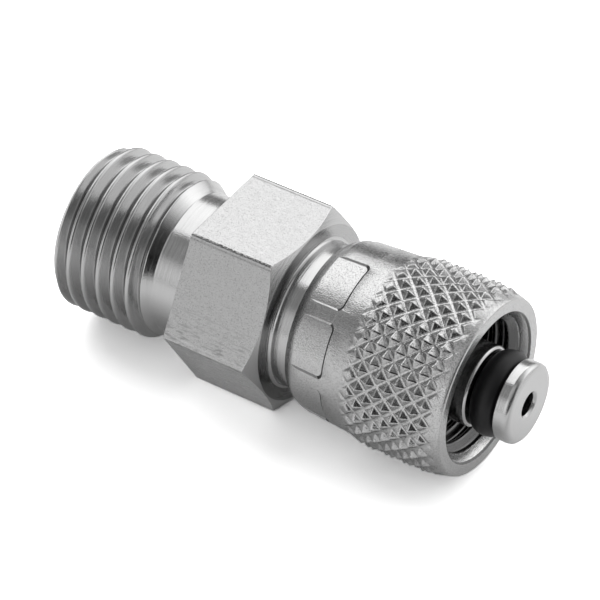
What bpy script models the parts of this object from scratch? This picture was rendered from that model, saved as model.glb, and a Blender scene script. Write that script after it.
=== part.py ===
"""Quick test adapter: a hydraulic fitting with a knurled swivel nut.

The adapter lies on its side with its axis along X. Its male pipe thread points to -X and
its sealing probe to +X. The origin is on the axis, halfway along the adapter body.
Every size is in metres. Each turned shape is drawn along its own Z axis, which the
object's rotation lays along X, and its stations are measured from its rear end.
"""

import math

import bmesh
import bpy
from mathutils import Matrix

# Male thread: rounded 55 degree form of a 1/4 inch parallel pipe thread
THREAD_DIAMETER = 0.013157
THREAD_PITCH = 0.001337
THREAD_DEPTH = 0.000856
THREAD_CREST_WIDTH = 0.00030
THREAD_ROUNDING = 0.12
THREAD_LENGTH = 0.0073
THREAD_LEAD_CHAMFER = 0.0006
THREAD_RUN_OUT = 0.0014
RELIEF_LENGTH = 0.00285
RELIEF_UNDERCUT = 0.00008

# Hexagon of the body
HEX_ACROSS_FLATS = 0.0142875
HEX_LENGTH = 0.00765
HEX_CHAMFER_ANGLE = math.radians(30.0)
HEX_FACE_INSET = 0.00008

# Neck that the nut turns on
NECK_STEP = 0.0014
NECK_LENGTH = 0.0072
NECK_ROOT_FILLET = 0.00028
NECK_END_CHAMFER = 0.0004

# Probe: stem, seal groove and end flange
STEM_DIAMETER = 0.00635
PROBE_LENGTH = 0.0117
FLANGE_LENGTH = 0.00125
FLANGE_EDGE_RADIUS = 0.00056
STEM_EDGE_CHAMFER = 0.00022
SEAL_GROOVE_WIDTH = 0.00235
SEAL_GROOVE_DEPTH = 0.00150

# Bore through the body
PROBE_BORE_DIAMETER = 0.0018
PROBE_BORE_CHAMFER = 0.0003
REAR_BORE_DIAMETER = 0.0050
REAR_BORE_DEPTH = 0.0200
REAR_BORE_CHAMFER = 0.0005
DRILL_POINT_ANGLE = math.radians(59.0)

# O-ring of the probe
SEAL_HEIGHT = 0.00152
SEAL_SIDE_GAP = 0.00012
SEAL_PROUD = 0.00015

# Split ring that holds the nut on the neck
RING_WIDTH = 0.0008
RING_THICKNESS = 0.0008
RING_SPLIT = 0.0022
RING_LAND = 0.0008

# Knurled nut, outside
NUT_LENGTH = 0.0138
NUT_HEX_GAP = 0.0017
NUT_WALL = 0.00071
KNURL_STEP = 0.00045
KNURL_DEPTH = 0.00043
KNURL_COUNT = 30
KNURL_START = 0.0052
KNURL_RAMP = 0.0017
KNURL_TIP_SETBACK = 0.0008
KNURL_PHASE = math.radians(9.2)
SHOULDER_TAPER = 0.0002
LIP_HEIGHT = 0.00075
LIP_RADIUS = 0.0018
FRONT_CONE_LENGTH = 0.0020
FRONT_CONE_HEIGHT = 0.00055
FRONT_EDGE_RADIUS = 0.00015

# Eight shallow panels milled into the rear of the nut
PAD_COUNT = 8
PAD_DEPTH = 0.00030
PAD_WIDTH = 0.0041
PAD_END = 0.00355
PAD_CORNER_RADIUS = 0.0003
PAD_PHASE = math.radians(18.0)

# Knurled nut, inside
NUT_SLIDE = 0.0014
NUT_THREAD_DIAMETER = 0.011112
NUT_THREAD_PITCH = 0.00127
NUT_THREAD_DEPTH = 0.00062
NUT_THREAD_CREST_WIDTH = 0.00032
MOUTH_DIAMETER = 0.0117
MOUTH_EDGE_CHAMFER = 0.00015
MOUTH_DEPTH = 0.00075

# Clearances between pieces
RUNNING_CLEARANCE = 0.0002
SEAT_GAP = 0.0002

# How far cutters run past a piece, and how far joined shapes run into each other
OVERCUT = 0.001
OVERLAP = 0.0002

# Facets
ROUND_STEPS = 48
THREAD_STEPS = 30
ARC_STEPS = 4
CORNER_STEPS = 3
PAD_STEPS = 5
SEAL_STEPS = 12
SHARP_ANGLE = math.radians(25.0)
MERGE_DISTANCE = 0.000001

# Radii worked out from the diameters
thread_radius = THREAD_DIAMETER / 2
thread_root = thread_radius - THREAD_DEPTH
relief_radius = thread_root - RELIEF_UNDERCUT
hex_apothem = HEX_ACROSS_FLATS / 2
hex_corner = hex_apothem / math.cos(math.pi / 6)
neck_radius = hex_apothem - NECK_STEP
stem_radius = STEM_DIAMETER / 2
seal_groove_radius = stem_radius - SEAL_GROOVE_DEPTH
nut_bore = neck_radius + RUNNING_CLEARANCE
nut_thread_radius = NUT_THREAD_DIAMETER / 2

# Stations along the body, measured from the end of the male thread
hex_rear = THREAD_LENGTH + THREAD_RUN_OUT + RELIEF_LENGTH
hex_front = hex_rear + HEX_LENGTH
neck_end = hex_front + NECK_LENGTH
body_end = neck_end + PROBE_LENGTH
flange_rear = body_end - FLANGE_LENGTH
seal_groove_rear = flange_rear - SEAL_GROOVE_WIDTH
ring_groove_front = neck_end - RING_LAND
ring_groove_rear = ring_groove_front - RING_WIDTH - RUNNING_CLEARANCE
ring_rear = ring_groove_rear + RUNNING_CLEARANCE / 2

# Radii of the split ring, between its groove in the neck and its groove in the nut
ring_inner = nut_bore + RUNNING_CLEARANCE - RING_THICKNESS
ring_outer = ring_inner + RING_THICKNESS
ring_groove_radius = ring_inner - SEAT_GAP
nut_groove_radius = ring_outer + RUNNING_CLEARANCE

# Outer radii of the nut, which follow from its groove and the wall around it
shoulder_radius = nut_groove_radius + NUT_WALL
knurl_radius = shoulder_radius + KNURL_STEP

# Stations along the nut, measured from its rear face
nut_rear = hex_front + NUT_HEX_GAP
nut_groove_rear = ring_rear - nut_rear - RUNNING_CLEARANCE
nut_groove_front = nut_groove_rear + RING_WIDTH + NUT_SLIDE + 2 * RUNNING_CLEARANCE
nut_thread_rear = neck_end - nut_rear + NUT_SLIDE + RUNNING_CLEARANCE
mouth_floor = NUT_LENGTH - MOUTH_DEPTH


def new_collection(name):
    """Adds a collection to the scene."""
    collection = bpy.data.collections.new(name)
    bpy.context.scene.collection.children.link(collection)
    return collection


def new_material(name, color, metallic, roughness):
    """Makes a plain Principled material."""
    material = bpy.data.materials.new(name)
    material.use_nodes = True
    shader = material.node_tree.nodes["Principled BSDF"]
    shader.inputs["Base Color"].default_value = (*color, 1.0)
    shader.inputs["Metallic"].default_value = metallic
    shader.inputs["Roughness"].default_value = roughness
    return material


def add_object(name, mesh, collection):
    """Adds a mesh object to a collection."""
    piece = bpy.data.objects.new(name, mesh)
    collection.objects.link(piece)
    return piece


def mark_as_cutter(piece):
    """Keeps a helper shape out of the render."""
    piece.hide_render = True
    piece.display_type = "WIRE"
    return piece


def turned(name, outline, collection, closed=False):
    """Turns an outline of (station, radius) points, listed from front to rear."""
    mesh = bpy.data.meshes.new(name)
    points = [(radius, 0.0, station) for station, radius in outline]
    edges = [(i, i + 1) for i in range(len(points) - 1)]
    if closed:
        edges.append((len(points) - 1, 0))
    mesh.from_pydata(points, edges, [])
    piece = add_object(name, mesh, collection)
    screw = piece.modifiers.new("turn", "SCREW")
    screw.axis = "Z"
    screw.angle = 2 * math.pi
    screw.steps = ROUND_STEPS
    screw.render_steps = ROUND_STEPS
    screw.use_merge_vertices = True
    screw.merge_threshold = MERGE_DISTANCE
    return piece


def boolean(piece, operation, tool):
    """Joins, cuts or trims a piece with another shape, which then follows the piece."""
    tool.parent = piece
    modifier = piece.modifiers.new(f"{operation.lower()} {tool.name}", "BOOLEAN")
    modifier.operation = operation
    modifier.solver = "EXACT"
    modifier.object = tool


def arc(center, radius, start, end, steps):
    """Points (station, radius) on an arc. Angles are measured from the radial direction."""
    points = []
    for i in range(steps + 1):
        angle = start + (end - start) * i / steps
        points.append((center[0] + radius * math.sin(angle), center[1] + radius * math.cos(angle)))
    return points


def mesh_from(bm, name):
    """Turns a finished bmesh into a mesh with its faces pointing out."""
    bmesh.ops.recalc_face_normals(bm, faces=bm.faces)
    mesh = bpy.data.meshes.new(name)
    bm.to_mesh(mesh)
    bm.free()
    return mesh


def close_ends(bm):
    """Caps the open ends of a tube."""
    rims = [edge for edge in bm.edges if edge.is_boundary]
    bmesh.ops.holes_fill(bm, edges=rims, sides=0)


def threaded_rod(name, major, depth, pitch, crest_width, rear, front, collection):
    """A rod with a right-hand helical thread, cut square at both stations."""
    root = major - depth
    shoulder = depth * THREAD_ROUNDING
    half = crest_width / 2
    turn = [
        (0.0, root),
        (half, root + shoulder),
        (pitch / 2 - half, major - shoulder),
        (pitch / 2, major),
        (pitch / 2 + half, major - shoulder),
        (pitch - half, root + shoulder),
        (pitch, root),
    ]
    turns = math.ceil((front - rear) / pitch) + 2
    bm = bmesh.new()
    profile = [bm.verts.new((radius, 0.0, rear - pitch + station)) for station, radius in turn]
    edges = [bm.edges.new(pair) for pair in zip(profile, profile[1:])]
    bmesh.ops.spin(
        bm,
        geom=profile + edges,
        cent=(0.0, 0.0, 0.0),
        axis=(0.0, 0.0, 1.0),
        dvec=(0.0, 0.0, pitch / THREAD_STEPS),
        angle=2 * math.pi * turns,
        steps=THREAD_STEPS * turns,
        use_merge=False,
        use_duplicate=False,
    )
    bmesh.ops.remove_doubles(bm, verts=bm.verts, dist=MERGE_DISTANCE)
    for station, side in ((rear, -1.0), (front, 1.0)):
        bmesh.ops.bisect_plane(
            bm,
            geom=bm.verts[:] + bm.edges[:] + bm.faces[:],
            plane_co=(0.0, 0.0, station),
            plane_no=(0.0, 0.0, side),
            clear_outer=True,
            clear_inner=False,
        )
    close_ends(bm)
    return add_object(name, mesh_from(bm, name), collection)


def knurled_rod(name, crest, depth, count, tip_station, rear, front, phase, collection):
    """A rod covered with four-sided pyramids between two families of 45 degree grooves."""
    row_step = math.pi * crest / count
    first = math.floor((rear - tip_station) / row_step)
    last = math.ceil((front - tip_station) / row_step)
    bm = bmesh.new()
    rows = [bm.verts.new((crest, 0.0, tip_station + row_step * j)) for j in range(first, last + 1)]
    edges = [bm.edges.new(pair) for pair in zip(rows, rows[1:])]
    bmesh.ops.spin(
        bm,
        geom=rows + edges,
        cent=(0.0, 0.0, 0.0),
        axis=(0.0, 0.0, 1.0),
        dvec=(0.0, 0.0, 0.0),
        angle=2 * math.pi,
        steps=2 * count,
        use_merge=True,
        use_duplicate=False,
    )
    column_step = math.pi / count
    for vert in bm.verts:
        column = round(math.atan2(vert.co.y, vert.co.x) / column_step)
        row = round((vert.co.z - tip_station) / row_step)
        radius = crest if (column + row) % 2 else crest - depth
        angle = column * column_step + phase
        vert.co.x = radius * math.cos(angle)
        vert.co.y = radius * math.sin(angle)
    # Each cell's shorter diagonal joins its two low corners, so the grooves run along it
    bmesh.ops.triangulate(bm, faces=bm.faces, quad_method="SHORT_EDGE")
    close_ends(bm)
    return add_object(name, mesh_from(bm, name), collection)


def hexagon(tools):
    """Six-sided section of the body with a turned chamfer at its front end."""
    bm = bmesh.new()
    bmesh.ops.create_cone(
        bm, cap_ends=True, segments=6, radius1=hex_corner, radius2=hex_corner, depth=HEX_LENGTH
    )
    bmesh.ops.translate(bm, verts=bm.verts, vec=(0.0, 0.0, (hex_rear + hex_front) / 2))
    section = add_object("hexagon_section", mesh_from(bm, "hexagon_section"), tools)
    face_radius = hex_apothem - HEX_FACE_INSET
    reach = hex_corner + OVERCUT - face_radius
    chamfer = [
        (hex_front + OVERCUT, 0.0),
        (hex_front + OVERCUT, face_radius - OVERCUT / math.tan(HEX_CHAMFER_ANGLE)),
        (hex_front - reach * math.tan(HEX_CHAMFER_ANGLE), face_radius + reach),
        (hex_rear - OVERCUT, face_radius + reach),
        (hex_rear - OVERCUT, 0.0),
    ]
    boolean(section, "INTERSECT", mark_as_cutter(turned("hexagon_chamfer", chamfer, tools)))
    return mark_as_cutter(section)


def male_thread(tools):
    """Threaded section of the body, chamfered at its end and running out at the relief."""
    run_out_end = THREAD_LENGTH + THREAD_RUN_OUT
    section = threaded_rod(
        "thread_section", thread_radius, THREAD_DEPTH, THREAD_PITCH, THREAD_CREST_WIDTH,
        0.0, run_out_end, tools,
    )
    outside = thread_radius + OVERLAP
    run_out_radius = relief_radius - OVERLAP
    envelope = [
        (run_out_end + OVERCUT, 0.0),
        (run_out_end + OVERCUT, run_out_radius),
        (run_out_end, run_out_radius),
        (THREAD_LENGTH, thread_radius),
        (THREAD_LENGTH, outside),
        (THREAD_LEAD_CHAMFER + OVERLAP, outside),
        (-OVERCUT, thread_radius - THREAD_LEAD_CHAMFER - OVERCUT),
        (-OVERCUT, 0.0),
    ]
    boolean(section, "INTERSECT", mark_as_cutter(turned("thread_envelope", envelope, tools)))
    return mark_as_cutter(section)


def adapter_body(parts, tools, material):
    """One turned piece: thread, relief, hexagon, neck, stem, seal groove and flange."""
    core_radius = relief_radius - OVERLAP
    fillet = arc(
        (hex_front + NECK_ROOT_FILLET, neck_radius + NECK_ROOT_FILLET),
        NECK_ROOT_FILLET, math.radians(180), math.radians(270), ARC_STEPS,
    )
    flange_edge = arc(
        (body_end - FLANGE_EDGE_RADIUS, stem_radius - FLANGE_EDGE_RADIUS),
        FLANGE_EDGE_RADIUS, math.radians(90), 0.0, CORNER_STEPS,
    )
    outline = [
        (body_end, 0.0),
        *flange_edge,
        (flange_rear, stem_radius),
        (flange_rear, seal_groove_radius),
        (seal_groove_rear, seal_groove_radius),
        (seal_groove_rear, stem_radius - STEM_EDGE_CHAMFER),
        (seal_groove_rear - STEM_EDGE_CHAMFER, stem_radius),
        (neck_end, stem_radius),
        (neck_end, neck_radius - NECK_END_CHAMFER),
        (neck_end - NECK_END_CHAMFER, neck_radius),
        (ring_groove_front, neck_radius),
        (ring_groove_front, ring_groove_radius),
        (ring_groove_rear, ring_groove_radius),
        (ring_groove_rear, neck_radius),
        *fillet,
        (hex_front - OVERCUT, neck_radius + NECK_ROOT_FILLET),
        (hex_front - OVERCUT, relief_radius),
        (THREAD_LENGTH + THREAD_RUN_OUT, relief_radius),
        (THREAD_LENGTH + THREAD_RUN_OUT / 2, core_radius),
        (THREAD_LEAD_CHAMFER, core_radius),
        (THREAD_LEAD_CHAMFER, 0.0),
    ]
    body = turned("adapter_body", outline, parts)
    boolean(body, "UNION", hexagon(tools))
    boolean(body, "UNION", male_thread(tools))
    boolean(body, "DIFFERENCE", body_bore(tools))
    body.data.materials.append(material)
    return body


def body_bore(tools):
    """Stepped bore with a drill point, right through the body."""
    small = PROBE_BORE_DIAMETER / 2
    large = REAR_BORE_DIAMETER / 2
    point = (large - small) / math.tan(DRILL_POINT_ANGLE)
    outline = [
        (body_end + OVERCUT, 0.0),
        (body_end + OVERCUT, small + PROBE_BORE_CHAMFER + OVERCUT),
        (body_end - PROBE_BORE_CHAMFER, small),
        (REAR_BORE_DEPTH + point, small),
        (REAR_BORE_DEPTH, large),
        (REAR_BORE_CHAMFER, large),
        (-OVERCUT, large + REAR_BORE_CHAMFER + OVERCUT),
        (-OVERCUT, 0.0),
    ]
    return mark_as_cutter(turned("body_bore", outline, tools))


def probe_o_ring(parts, material):
    """Rubber ring that fills the groove of the probe and stands a little proud of it."""
    outer = stem_radius + SEAL_PROUD
    half_height = SEAL_HEIGHT / 2
    half_width = SEAL_GROOVE_WIDTH / 2 - SEAL_SIDE_GAP
    bpy.ops.mesh.primitive_torus_add(
        major_segments=ROUND_STEPS,
        minor_segments=SEAL_STEPS,
        major_radius=outer - half_height,
        minor_radius=half_height,
    )
    seal = bpy.context.object
    seal.name = "probe_o_ring"
    seal.data.name = "probe_o_ring"
    for vert in seal.data.vertices:
        vert.co.z *= half_width / half_height
    seal.users_collection[0].objects.unlink(seal)
    parts.objects.link(seal)
    seal.data.materials.append(material)
    return seal


def retaining_ring(parts, tools, material):
    """Split spring ring of square section."""
    outline = [
        (RING_WIDTH, ring_inner),
        (RING_WIDTH, ring_outer),
        (0.0, ring_outer),
        (0.0, ring_inner),
    ]
    ring = turned("retaining_ring", outline, parts, closed=True)
    bm = bmesh.new()
    bmesh.ops.create_cube(bm, size=1.0)
    size = (2 * RING_THICKNESS + ring_outer, RING_SPLIT, RING_WIDTH + 2 * OVERCUT)
    bmesh.ops.scale(bm, verts=bm.verts, vec=size)
    bmesh.ops.translate(bm, verts=bm.verts, vec=(ring_outer, 0.0, RING_WIDTH / 2))
    split = add_object("ring_split", mesh_from(bm, "ring_split"), tools)
    boolean(ring, "DIFFERENCE", mark_as_cutter(split))
    ring.data.materials.append(material)
    return ring


def nut_envelope(tools):
    """Turned outside of the nut: front cone, knurl diameter, tapered shoulder and rear lip."""
    face = knurl_radius - FRONT_CONE_HEIGHT
    lip_angle = math.acos((LIP_RADIUS - LIP_HEIGHT) / LIP_RADIUS)
    lip_center = (LIP_RADIUS * math.sin(lip_angle), shoulder_radius - SHOULDER_TAPER - LIP_RADIUS)
    front_edge = arc(
        (NUT_LENGTH - FRONT_EDGE_RADIUS, face - FRONT_EDGE_RADIUS),
        FRONT_EDGE_RADIUS, math.radians(90), 0.0, CORNER_STEPS,
    )
    outline = [
        (NUT_LENGTH, 0.0),
        *front_edge,
        (NUT_LENGTH - FRONT_CONE_LENGTH, knurl_radius),
        (KNURL_START + KNURL_RAMP, knurl_radius),
        (KNURL_START, shoulder_radius),
        *arc(lip_center, LIP_RADIUS, 0.0, -lip_angle, ARC_STEPS),
        (0.0, 0.0),
    ]
    return mark_as_cutter(turned("nut_envelope", outline, tools))


def nut_pads(tools):
    """Eight blocks with curved floors that mill the shallow panels at the rear of the nut."""
    floor = shoulder_radius - PAD_DEPTH
    block = bmesh.new()
    bmesh.ops.create_cube(block, size=1.0)
    bmesh.ops.scale(block, verts=block.verts, vec=(OVERCUT, PAD_WIDTH, PAD_END + OVERCUT))
    middle = (floor + OVERCUT / 2, 0.0, (PAD_END - OVERCUT) / 2)
    bmesh.ops.translate(block, verts=block.verts, vec=middle)
    corners = [
        edge
        for edge in block.edges
        if all(vert.co.z > 0.0 for vert in edge.verts)
        and abs(edge.verts[0].co.x - edge.verts[1].co.x) > OVERCUT / 2
    ]
    bmesh.ops.bevel(
        block, geom=corners, offset=PAD_CORNER_RADIUS, offset_type="OFFSET", segments=CORNER_STEPS,
        profile=0.5, affect="EDGES", material=-1,
    )
    for i in range(1, PAD_STEPS):
        cut = PAD_WIDTH * (i / PAD_STEPS - 0.5)
        whole = [*block.verts, *block.edges, *block.faces]
        bmesh.ops.bisect_plane(
            block, geom=whole, dist=MERGE_DISTANCE, plane_co=(0.0, cut, 0.0), plane_no=(0.0, 1.0, 0.0),
        )
    for vert in block.verts:
        angle = vert.co.y / floor
        vert.co = (vert.co.x * math.cos(angle), vert.co.x * math.sin(angle), vert.co.z)
    bmesh.ops.triangulate(block, faces=block.faces)
    panel = mesh_from(block, "nut_panel")
    bm = bmesh.new()
    for k in range(PAD_COUNT):
        before = len(bm.verts)
        bm.from_mesh(panel)
        bm.verts.ensure_lookup_table()
        turn = Matrix.Rotation(PAD_PHASE + 2 * math.pi * k / PAD_COUNT, 3, "Z")
        bmesh.ops.rotate(bm, verts=bm.verts[before:], cent=(0.0, 0.0, 0.0), matrix=turn)
    return mark_as_cutter(add_object("nut_pads", mesh_from(bm, "nut_pads"), tools))


def nut_bore_cutter(tools):
    """Turned inside of the nut: mouth, thread relief, ring groove and running bore."""
    mouth = MOUTH_DIAMETER / 2
    outline = [
        (NUT_LENGTH + OVERCUT, 0.0),
        (NUT_LENGTH + OVERCUT, mouth + MOUTH_EDGE_CHAMFER + OVERCUT),
        (NUT_LENGTH - MOUTH_EDGE_CHAMFER, mouth),
        (mouth_floor, nut_thread_radius),
        (mouth_floor - NUT_THREAD_DEPTH, nut_thread_radius - NUT_THREAD_DEPTH),
        (nut_thread_rear, nut_thread_radius - NUT_THREAD_DEPTH),
        (nut_thread_rear, nut_bore),
        (nut_groove_front, nut_bore),
        (nut_groove_front, nut_groove_radius),
        (nut_groove_rear, nut_groove_radius),
        (nut_groove_rear, nut_bore),
        (-OVERCUT, nut_bore),
        (-OVERCUT, 0.0),
    ]
    return mark_as_cutter(turned("nut_bore", outline, tools))


def knurled_nut(parts, tools, material):
    """Swivel nut, trimmed out of a knurled bar."""
    nut = knurled_rod(
        "knurled_nut", knurl_radius, KNURL_DEPTH, KNURL_COUNT, NUT_LENGTH - KNURL_TIP_SETBACK,
        -OVERCUT, NUT_LENGTH + OVERCUT, KNURL_PHASE, parts,
    )
    boolean(nut, "INTERSECT", nut_envelope(tools))
    boolean(nut, "DIFFERENCE", nut_pads(tools))
    boolean(nut, "DIFFERENCE", nut_bore_cutter(tools))
    tap = threaded_rod(
        "nut_tap", nut_thread_radius, NUT_THREAD_DEPTH, NUT_THREAD_PITCH, NUT_THREAD_CREST_WIDTH,
        nut_thread_rear - OVERLAP, mouth_floor + OVERLAP, tools,
    )
    boolean(nut, "DIFFERENCE", mark_as_cutter(tap))
    nut.data.materials.append(material)
    return nut


def lay_along_x(piece, station, parent):
    """Lays a turned piece along X, with its rear end at a station of the body."""
    piece.parent = parent
    piece.location = (station - body_end / 2, 0.0, 0.0)
    piece.rotation_euler = (0.0, math.pi / 2, 0.0)


def shade(piece):
    """Smooth shading with sharp edges kept sharp."""
    piece.data.shade_smooth()
    piece.data.set_sharp_from_angle(angle=SHARP_ANGLE)


def build():
    """Builds the adapter."""
    for old in list(bpy.data.objects):
        bpy.data.objects.remove(old, do_unlink=True)
    parts = new_collection("quick_test_adapter")
    tools = new_collection("cutters")
    steel = new_material("turned_steel", (0.60, 0.60, 0.60), 1.0, 0.28)
    matt_steel = new_material("knurled_steel", (0.56, 0.56, 0.56), 1.0, 0.38)
    spring_steel = new_material("spring_steel", (0.35, 0.35, 0.36), 1.0, 0.35)
    rubber = new_material("black_rubber", (0.012, 0.012, 0.013), 0.0, 0.45)

    axis = bpy.data.objects.new("adapter_axis", None)
    parts.objects.link(axis)

    body = adapter_body(parts, tools, steel)
    seal = probe_o_ring(parts, rubber)
    ring = retaining_ring(parts, tools, spring_steel)
    nut = knurled_nut(parts, tools, matt_steel)

    lay_along_x(body, 0.0, axis)
    lay_along_x(seal, (seal_groove_rear + flange_rear) / 2, axis)
    lay_along_x(ring, ring_rear, axis)
    lay_along_x(nut, nut_rear, axis)
    for piece in (body, seal, ring, nut):
        shade(piece)


build()
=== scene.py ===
"""Looks of the quick test adapter: bright turned steel, a knurled nut, a rubber seal.

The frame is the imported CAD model. Its axis lies along X, with the male thread at -X and the
probe at +X. Every piece here is turned about its own Z axis first, with stations measured from
its rear end, and then laid along X where the CAD node lies. Sizes are in metres.
"""

import math

import bmesh
import bpy
from mathutils import Matrix, Vector


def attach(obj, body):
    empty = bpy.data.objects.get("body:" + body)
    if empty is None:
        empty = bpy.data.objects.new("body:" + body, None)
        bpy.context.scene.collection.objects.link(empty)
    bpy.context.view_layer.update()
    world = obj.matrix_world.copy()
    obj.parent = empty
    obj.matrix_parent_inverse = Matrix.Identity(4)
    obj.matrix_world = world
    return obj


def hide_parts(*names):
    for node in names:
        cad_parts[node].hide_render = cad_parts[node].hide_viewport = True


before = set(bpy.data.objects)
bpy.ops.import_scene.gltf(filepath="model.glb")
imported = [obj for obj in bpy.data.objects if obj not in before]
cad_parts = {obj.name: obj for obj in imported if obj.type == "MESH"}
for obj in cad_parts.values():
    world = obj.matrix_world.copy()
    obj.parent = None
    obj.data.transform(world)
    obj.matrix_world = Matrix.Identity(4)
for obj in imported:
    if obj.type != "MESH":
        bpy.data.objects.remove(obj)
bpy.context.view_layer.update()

MM = 0.001

# Camera, from the photograph: a long lens looking down at 43 degrees from the probe's side
CAMERA_PLACE = Vector((121.15, -183.1, 192.9)) * MM
CAMERA_RIGHT = Vector((0.8368, 0.5475, -0.0094))
CAMERA_UP = Vector((-0.3541, 0.5544, 0.7532))
CAMERA_BACK = Vector((0.4175, -0.6270, 0.6579))
CAMERA_LENS = 235.7

# Studio: a wide softbox overhead, behind and to the left, soft grey areas round about, and a
# white floor. Each area says where it lies, how close to that direction it starts and is full
# (as a cosine), and the tone that it adds.
SOFTBOX_HEIGHT = 0.40
SOFTBOX_FRONT = -0.18
SOFTBOX_BACK = 1.75
SOFTBOX_LEFT = -1.80
SOFTBOX_RIGHT = -0.22
SOFTBOX_RADIANCE = 1.36
ROOM_TONE = 0.25
WALLS = (
    ((-0.35, -1.0, -0.05), 0.72, 0.86, 0.38),
    ((0.70, 0.66, 0.10), 0.45, 0.90, 0.70),
    ((0.0, -0.96, 0.28), 0.90, 0.97, 0.50),
    ((0.10, -0.55, 0.83), 0.85, 0.97, 0.35),
    ((0.20, 0.60, 0.75), 0.75, 0.97, 0.45),
    ((0.45, -0.90, -0.10), 0.80, 0.95, -0.22),
    ((0.60, -0.48, 0.64), 0.86, 0.96, -0.22),
    ((0.19, 0.87, 0.46), 0.80, 0.97, 0.50),
)
FLOOR_SIZE = 3.0
FLOOR_WHITE = 0.85
# Tones of the floor in reflections, with painted shade near the object and painted light behind
# it
FLOOR_GLOSSY_NEAR = 0.88
FLOOR_GLOSSY_BEHIND = 1.30
FLOOR_GLOSSY_FRONT = 0.30
FLOOR_GLOSSY_FAR = 0.40
FLOOR_SEEN_WHITE = 2.85
WORLD_SEEN_WHITE = 1.0
# Painted shade and light on the floor as seen in reflections: darker under and near the object,
# where its shadow falls, lighter behind it and further in front, and darker again far behind.
# Places along Y between which that tone changes
FLOOR_BEHIND_PLACES = (-8 * MM, 7 * MM)
FLOOR_FRONT_PLACES = (-9 * MM, -24 * MM)
FLOOR_FAR_PLACES = (60 * MM, 300 * MM)

# Male thread and relief
THREAD_DIAMETER = 13.157 * MM
THREAD_PITCH = 1.337 * MM
THREAD_DEPTH = 0.856 * MM
THREAD_FLANK = math.radians(27.5)
THREAD_LENGTH = 7.3 * MM
THREAD_LEAD = 0.6 * MM
THREAD_RUN_OUT = 1.4 * MM
THREAD_ROWS = 20
THREAD_CREST = THREAD_DIAMETER / 2
THREAD_ROOT = THREAD_CREST - THREAD_DEPTH
RELIEF_RADIUS = THREAD_ROOT - 0.08 * MM
HEX_REAR = 11.55 * MM

# Hexagon
HEX_APOTHEM = 7.14375 * MM
HEX_CORNER = HEX_APOTHEM / math.cos(math.pi / 6)
HEX_FRONT = 19.2 * MM
HEX_FACE_RADIUS = HEX_APOTHEM - 0.08 * MM
HEX_CHAMFER = math.radians(30)
HEX_CORNER_ROUND = 0.20 * MM
HEX_CROWDING = 1.5

# Neck, probe and bores
NECK_RADIUS = HEX_APOTHEM - 1.4 * MM
NECK_FILLET = 0.28 * MM
RING_GROOVE = (24.6 * MM, 25.6 * MM)
RING_GROOVE_RADIUS = NECK_RADIUS - 0.6 * MM
NECK_END = 26.4 * MM
NECK_CHAMFER = 0.4 * MM
STEM_RADIUS = 3.175 * MM
STEM_CHAMFER = 0.15 * MM
SEAL_GROOVE = (34.5 * MM, 36.85 * MM)
SEAL_GROOVE_RADIUS = 1.675 * MM
FLANGE_ROUND = 0.50 * MM
BODY_END = 38.1 * MM
SMALL_BORE = 0.9 * MM
SMALL_BORE_CHAMFER = 0.2 * MM
LARGE_BORE = 2.5 * MM
LARGE_BORE_DEPTH = 20.0 * MM
LARGE_BORE_CHAMFER = 0.5 * MM
DRILL_POINT = math.radians(59)
BODY_STEPS = 288

# Rubber seal
SEAL_PROUD = 0.15 * MM
SEAL_HEIGHT = 1.52 * MM
SEAL_WIDTH = 2.11 * MM
SEAL_SECTION_STEPS = 40
SEAL_STEPS = 144

# Knurled nut, outside
NUT_REAR = 20.9 * MM
NUT_LENGTH = 13.8 * MM
SHOULDER_RADIUS = NECK_RADIUS + 1.31 * MM
SHOULDER_TAPER = 0.2 * MM
LIP_HEIGHT = 0.78 * MM
LIP_RADIUS = 2.6 * MM
LIP_LENGTH = math.sqrt(LIP_HEIGHT * (2 * LIP_RADIUS - LIP_HEIGHT))
LIP_STEPS = 12
KNURL_RADIUS = SHOULDER_RADIUS + 0.45 * MM
KNURL_DEPTH = 0.43 * MM
KNURL_COUNT = 30
KNURL_PITCH = math.pi * KNURL_RADIUS / KNURL_COUNT
KNURL_START = 5.2 * MM
KNURL_RAMP = 1.7 * MM
KNURL_TIP = NUT_LENGTH - 0.8 * MM
KNURL_PHASE = math.radians(9.2)
KNURL_CELLS = 8
KNURL_ROW = KNURL_PITCH / KNURL_CELLS
KNURL_GROOVE_FLAT = 1 / KNURL_CELLS
FRONT_CONE_LENGTH = 2.0 * MM
FRONT_RADIUS = KNURL_RADIUS - 0.55 * MM
PAD_COUNT = 8
PAD_FLOOR = SHOULDER_RADIUS - 0.22 * MM
PAD_WIDTH = 4.1 * MM
PAD_END = 3.55 * MM
PAD_CORNER = 0.45 * MM
PAD_SIDE_DRAFT = 0.9
PAD_FRONT_DRAFT = 1.25
PAD_STEPS = 32
PAD_CORNER_STEPS = 6
PAD_BLOCK_HEIGHT = 1.0 * MM
PAD_WALL_START = 1.0 * MM
PAD_WALL_END = PAD_END + 0.4 * MM
PAD_PHASE = math.radians(18)

# Knurled nut, inside
NUT_BORE = NECK_RADIUS + 0.2 * MM
NUT_GROOVE = (3.6 * MM, 6.2 * MM)
NUT_GROOVE_RADIUS = NECK_RADIUS + 0.6 * MM
NUT_THREAD_START = 7.1 * MM
NUT_THREAD_RADIUS = 5.556 * MM
NUT_THREAD_PITCH = 1.27 * MM
NUT_THREAD_DEPTH = 0.62 * MM
NUT_THREAD_FLANK = math.radians(30)
NUT_THREAD_ROWS = 16
NUT_INNER_STEPS = 160
MOUTH_RADIUS = 5.85 * MM
MOUTH_CHAMFER = 0.15 * MM
MOUTH_DEPTH = 0.75 * MM

# Edges are eased by this much, and a support ring keeps the faces beside them flat
EDGE = 0.05 * MM
SUPPORT = 0.06 * MM
EASE_STEPS = 3
TINY = 0.001 * MM
SHARP = math.radians(9)
# Limits of the X part of a normal, for a face along the axis and for one that faces the rear
ALONG_AXIS = 0.05
FACES_REAR = -0.20

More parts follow.
